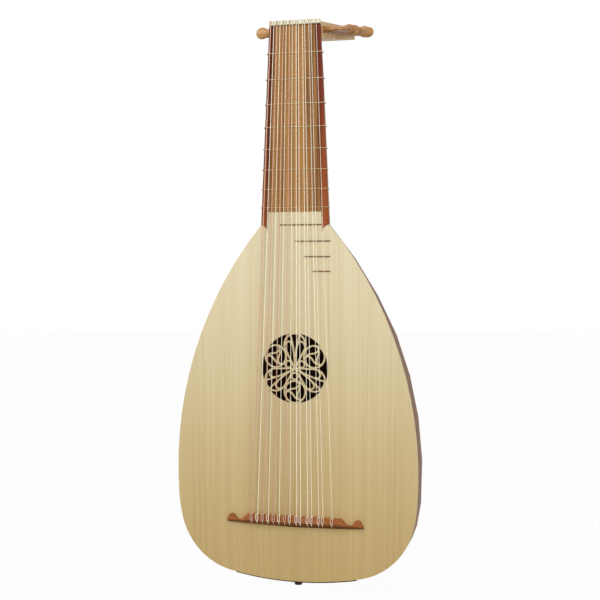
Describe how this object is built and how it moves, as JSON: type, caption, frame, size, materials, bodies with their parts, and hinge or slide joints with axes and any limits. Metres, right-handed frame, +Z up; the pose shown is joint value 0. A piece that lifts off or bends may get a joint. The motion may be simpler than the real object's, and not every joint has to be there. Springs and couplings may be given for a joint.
{
  "type": "renaissance lute",
  "caption": "Renaissance lute with a ribbed bowl, a carved rose, paired strings, tied gut frets and a bent-back pegbox with turned pegs.",
  "frame": {"origin": "centre of the end button's flat face, on the button's axis", "axes": "+Z up the neck from the tail to the pegbox, +X towards the treble side, -Y out of the soundboard's face"},
  "size_m": [0.3108, 0.196, 0.7125],
  "materials": {
    "rib_wood": "varnished",
    "soundboard_spruce": "satin",
    "dark_wood": "satin",
    "inner_wood": "bare",
    "button_wood": "polished",
    "neck_wood": "satin",
    "fingerboard_wood": "satin",
    "nut_bone": "ivory coloured, satin",
    "pegbox_wood": "satin",
    "bridge_wood": "satin",
    "gut_string": "satin gut or nylgut",
    "wound_string": "copper-brown wound or loaded",
    "fret_gut": "satin gut",
    "peg_wood": "satin"
  },
  "bodies": {
    "body": {"rib_01": "rib_wood", "rib_02": "rib_wood", "rib_03": "rib_wood", "rib_04": "rib_wood", "rib_05": "rib_wood", "rib_06": "rib_wood", "rib_07": "rib_wood", "rib_08": "rib_wood", "rib_09": "rib_wood", "rib_10": "rib_wood", "rib_11": "rib_wood", "soundboard": "soundboard_spruce", "body_fret_9": "dark_wood", "body_fret_10": "dark_wood", "body_fret_11": "dark_wood", "body_fret_12": "dark_wood", "upper_harmonic_bar": "inner_wood", "lower_harmonic_bar": "inner_wood", "neck_block": "inner_wood", "tail_block": "inner_wood", "end_cap": "dark_wood", "end_button": "button_wood", "neck": "neck_wood", "fingerboard": "fingerboard_wood", "treble_edge_strip": "dark_wood", "bass_edge_strip": "dark_wood", "nut": "nut_bone", "pegbox": "pegbox_wood", "bridge": "bridge_wood", "course_1_string": "gut_string", "course_2_strings": "gut_string", "course_3_strings": "gut_string", "course_4_strings": "gut_string", "course_5_strings": "wound_string", "course_6_strings": "wound_string", "course_7_strings": "wound_string", "course_8_strings": "wound_string"},
    "peg_01": {"peg_01": "peg_wood"},
    "peg_02": {"peg_02": "peg_wood"},
    "peg_03": {"peg_03": "peg_wood"},
    "peg_04": {"peg_04": "peg_wood"},
    "peg_05": {"peg_05": "peg_wood"},
    "peg_06": {"peg_06": "peg_wood"},
    "peg_07": {"peg_07": "peg_wood"},
    "peg_08": {"peg_08": "peg_wood"},
    "peg_09": {"peg_09": "peg_wood"},
    "peg_10": {"peg_10": "peg_wood"},
    "peg_11": {"peg_11": "peg_wood"},
    "peg_12": {"peg_12": "peg_wood"},
    "peg_13": {"peg_13": "peg_wood"},
    "peg_14": {"peg_14": "peg_wood"},
    "peg_15": {"peg_15": "peg_wood"},
    "tied_fret_1": {"tied_fret_1": "fret_gut"},
    "tied_fret_2": {"tied_fret_2": "fret_gut"},
    "tied_fret_3": {"tied_fret_3": "fret_gut"},
    "tied_fret_4": {"tied_fret_4": "fret_gut"},
    "tied_fret_5": {"tied_fret_5": "fret_gut"},
    "tied_fret_6": {"tied_fret_6": "fret_gut"},
    "tied_fret_7": {"tied_fret_7": "fret_gut"},
    "tied_fret_8": {"tied_fret_8": "fret_gut"}
  },
  "joints": [
    {"name": "peg_01_turn", "type": "hinge", "parent": "body", "child": "peg_01", "pos_m": [0, 0.00497, 0.68347], "axis": [1, 0, 0], "continuous": true},
    {"name": "peg_02_turn", "type": "hinge", "parent": "body", "child": "peg_02", "pos_m": [0, 0.01548, 0.68486], "axis": [1, 0, 0], "continuous": true},
    {"name": "peg_03_turn", "type": "hinge", "parent": "body", "child": "peg_03", "pos_m": [0, 0.02599, 0.68625], "axis": [1, 0, 0], "continuous": true},
    {"name": "peg_04_turn", "type": "hinge", "parent": "body", "child": "peg_04", "pos_m": [0, 0.0365, 0.68765], "axis": [1, 0, 0], "continuous": true},
    {"name": "peg_05_turn", "type": "hinge", "parent": "body", "child": "peg_05", "pos_m": [0, 0.04701, 0.68904], "axis": [1, 0, 0], "continuous": true},
    {"name": "peg_06_turn", "type": "hinge", "parent": "body", "child": "peg_06", "pos_m": [0, 0.05752, 0.69043], "axis": [1, 0, 0], "continuous": true},
    {"name": "peg_07_turn", "type": "hinge", "parent": "body", "child": "peg_07", "pos_m": [0, 0.06803, 0.69182], "axis": [1, 0, 0], "continuous": true},
    {"name": "peg_08_turn", "type": "hinge", "parent": "body", "child": "peg_08", "pos_m": [0, 0.07854, 0.69322], "axis": [1, 0, 0], "continuous": true},
    {"name": "peg_09_turn", "type": "hinge", "parent": "body", "child": "peg_09", "pos_m": [0, 0.08905, 0.69461], "axis": [1, 0, 0], "continuous": true},
    {"name": "peg_10_turn", "type": "hinge", "parent": "body", "child": "peg_10", "pos_m": [0, 0.09956, 0.696], "axis": [1, 0, 0], "continuous": true},
    {"name": "peg_11_turn", "type": "hinge", "parent": "body", "child": "peg_11", "pos_m": [0, 0.11007, 0.69739], "axis": [1, 0, 0], "continuous": true},
    {"name": "peg_12_turn", "type": "hinge", "parent": "body", "child": "peg_12", "pos_m": [0, 0.12058, 0.69878], "axis": [1, 0, 0], "continuous": true},
    {"name": "peg_13_turn", "type": "hinge", "parent": "body", "child": "peg_13", "pos_m": [0, 0.13109, 0.70017], "axis": [1, 0, 0], "continuous": true},
    {"name": "peg_14_turn", "type": "hinge", "parent": "body", "child": "peg_14", "pos_m": [0, 0.14159, 0.70157], "axis": [1, 0, 0], "continuous": true},
    {"name": "peg_15_turn", "type": "hinge", "parent": "body", "child": "peg_15", "pos_m": [0, 0.1521, 0.70296], "axis": [1, 0, 0], "continuous": true},
    {"name": "tied_fret_1_slide", "type": "slide", "parent": "body", "child": "tied_fret_1", "axis": [0, 0, 1], "range_m": [-0.002, 0.003]},
    {"name": "tied_fret_2_slide", "type": "slide", "parent": "body", "child": "tied_fret_2", "axis": [0, 0, 1], "range_m": [-0.002, 0.003]},
    {"name": "tied_fret_3_slide", "type": "slide", "parent": "body", "child": "tied_fret_3", "axis": [0, 0, 1], "range_m": [-0.002, 0.003]},
    {"name": "tied_fret_4_slide", "type": "slide", "parent": "body", "child": "tied_fret_4", "axis": [0, 0, 1], "range_m": [-0.002, 0.003]},
    {"name": "tied_fret_5_slide", "type": "slide", "parent": "body", "child": "tied_fret_5", "axis": [0, 0, 1], "range_m": [-0.002, 0.003]},
    {"name": "tied_fret_6_slide", "type": "slide", "parent": "body", "child": "tied_fret_6", "axis": [0, 0, 1], "range_m": [-0.002, 0.003]},
    {"name": "tied_fret_7_slide", "type": "slide", "parent": "body", "child": "tied_fret_7", "axis": [0, 0, 1], "range_m": [-0.002, 0.003]},
    {"name": "tied_fret_8_slide", "type": "slide", "parent": "body", "child": "tied_fret_8", "axis": [0, 0, 1], "range_m": [-0.002, 0.003]}
  ]
}
